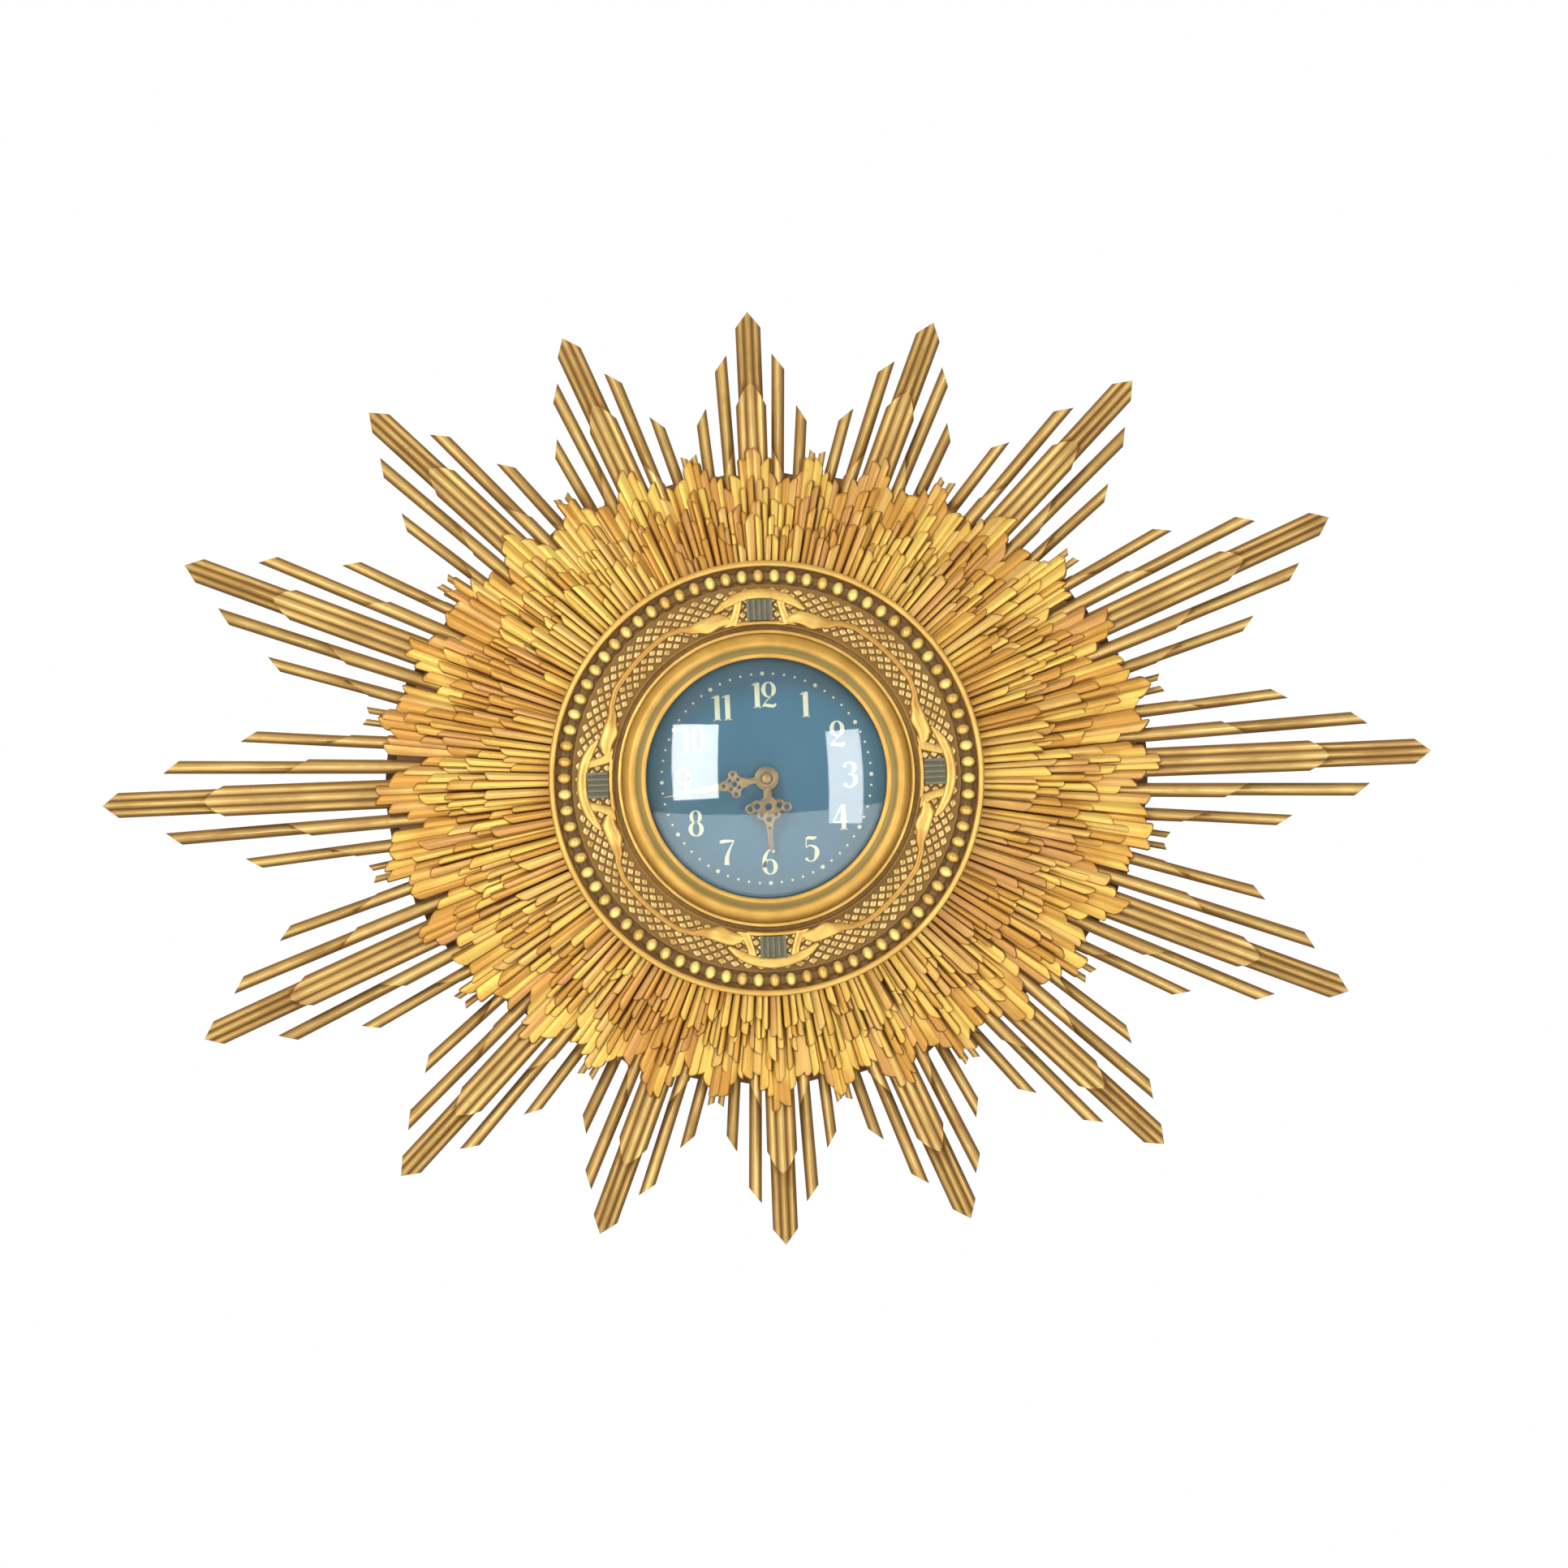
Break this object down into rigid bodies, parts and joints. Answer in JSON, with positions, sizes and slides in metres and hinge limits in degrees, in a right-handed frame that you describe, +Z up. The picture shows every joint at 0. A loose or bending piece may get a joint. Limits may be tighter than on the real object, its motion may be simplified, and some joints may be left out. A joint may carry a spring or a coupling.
{
  "type": "sunburst wall clock",
  "caption": "Wide oval sunburst wall clock: carved gilt ray bundles round a beaded ring, domed glass, blue dial with cream figures, pierced hands, battery movement.",
  "frame": {"origin": "point on the dial axis in the plane of the wall, at the centre of the backing board's back face", "axes": "+X to the right as seen from the front along the long rays, +Y into the wall along the dial axis, +Z up"},
  "size_m": [0.751, 0.0609, 0.527],
  "materials": {
    "gilt_wood": "carved, gessoed and gilded, rubbed to the bole on the crests",
    "gilt_composition": "pressed composition ornament, gilded",
    "tablet_paint": "matt grey-green paint",
    "board_wood": "bare plywood",
    "hardboard": "bare hardboard",
    "gilt_brass": "lacquered and aged brass",
    "hand_brass": "aged brass, rubbed",
    "glass": "clear domed glass",
    "dial_paint": "slate blue enamel with cream figures",
    "seat_olive": "aged olive bronze",
    "black_plastic": "moulded",
    "wheel_plastic": "moulded",
    "steel": "bright",
    "yellow_steel": "yellow plated",
    "copper_wire": "enamelled copper wire",
    "rubber": "soft",
    "board_green": "solder resist",
    "cell_jacket": "printed jacket, no marks"
  },
  "bodies": {
    "clock": {"ray_bundle_01": "gilt_wood", "ray_bundle_02": "gilt_wood", "ray_bundle_03": "gilt_wood", "ray_bundle_04": "gilt_wood", "ray_bundle_05": "gilt_wood", "ray_bundle_06": "gilt_wood", "ray_bundle_07": "gilt_wood", "ray_bundle_08": "gilt_wood", "ray_bundle_09": "gilt_wood", "ray_bundle_10": "gilt_wood", "ray_bundle_11": "gilt_wood", "ray_bundle_12": "gilt_wood", "ray_bundle_13": "gilt_wood", "ray_bundle_14": "gilt_wood", "ray_bundle_15": "gilt_wood", "ray_bundle_16": "gilt_wood", "finger_field_back": "gilt_wood", "finger_field_front": "gilt_wood", "ring_frame": "gilt_wood", "ring_beads": "gilt_composition", "ring_trellis": "gilt_wood", "ring_strap": "gilt_wood", "tablet_top": "tablet_paint", "tablet_right": "tablet_paint", "tablet_bottom": "tablet_paint", "tablet_left": "tablet_paint", "bezel": "gilt_brass", "glass": "glass", "glass_seat": "seat_olive", "dial_plate": "dial_paint", "mounting_plate": "hardboard", "plate_screws": "yellow_steel", "movement_case": "black_plastic", "movement_cover": "black_plastic", "threaded_bush": "gilt_brass", "rubber_washer": "rubber", "brass_washer": "gilt_brass", "hex_nut": "gilt_brass", "battery": "cell_jacket", "contact_plus": "steel", "contact_minus": "steel", "circuit_board": "board_green", "coil": "copper_wire", "stator": "steel", "back_board": "board_wood", "frame_screws": "yellow_steel", "hanger_plate": "yellow_steel", "hanger_screws": "yellow_steel"},
    "minute_train": {"minute_wheel": "gilt_brass", "minute_hand": "hand_brass", "hand_cap": "gilt_brass"},
    "hour_train": {"hour_wheel": "gilt_brass", "hour_hand": "hand_brass"},
    "motion_body": {"motion_wheel": "wheel_plastic"},
    "third_body": {"third_wheel": "wheel_plastic"},
    "seconds_body": {"seconds_wheel": "wheel_plastic"},
    "intermediate_body": {"intermediate_wheel": "wheel_plastic"},
    "rotor_body": {"rotor": "steel"},
    "knob_body": {"setting_knob": "black_plastic"}
  },
  "joints": [
    {"name": "minute_spin", "type": "hinge", "parent": "clock", "child": "minute_train", "pos_m": [0, 0, 0], "axis": [0, 1, 0], "continuous": true},
    {"name": "hour_spin", "type": "hinge", "parent": "clock", "child": "hour_train", "pos_m": [0, 0, 0], "axis": [0, 1, 0], "continuous": true},
    {"name": "motion_spin", "type": "hinge", "parent": "clock", "child": "motion_body", "pos_m": [-0.00665, 0, 0.00384], "axis": [0, 1, 0], "continuous": true},
    {"name": "third_spin", "type": "hinge", "parent": "clock", "child": "third_body", "pos_m": [0.00661, 0, 0.00944], "axis": [0, 1, 0], "continuous": true},
    {"name": "seconds_spin", "type": "hinge", "parent": "clock", "child": "seconds_body", "pos_m": [-0.00223, 0, 0.01454], "axis": [0, 1, 0], "continuous": true},
    {"name": "intermediate_spin", "type": "hinge", "parent": "clock", "child": "intermediate_body", "pos_m": [-0.00815, 0, 0.01669], "axis": [0, 1, 0], "continuous": true},
    {"name": "rotor_spin", "type": "hinge", "parent": "clock", "child": "rotor_body", "pos_m": [-0.01346, 0, 0.01575], "axis": [0, 1, 0], "continuous": true},
    {"name": "knob_spin", "type": "hinge", "parent": "clock", "child": "knob_body", "pos_m": [-0.0133, 0, 0.00768], "axis": [0, 1, 0], "continuous": true}
  ],
  "couplings": [
    {"joint": "motion_spin", "follows": "minute_spin", "ratio": -0.33333},
    {"joint": "hour_spin", "follows": "minute_spin", "ratio": 0.083333},
    {"joint": "knob_spin", "follows": "minute_spin", "ratio": 1},
    {"joint": "third_spin", "follows": "minute_spin", "ratio": -8},
    {"joint": "seconds_spin", "follows": "minute_spin", "ratio": 60},
    {"joint": "intermediate_spin", "follows": "minute_spin", "ratio": -360},
    {"joint": "rotor_spin", "follows": "minute_spin", "ratio": 1800}
  ]
}
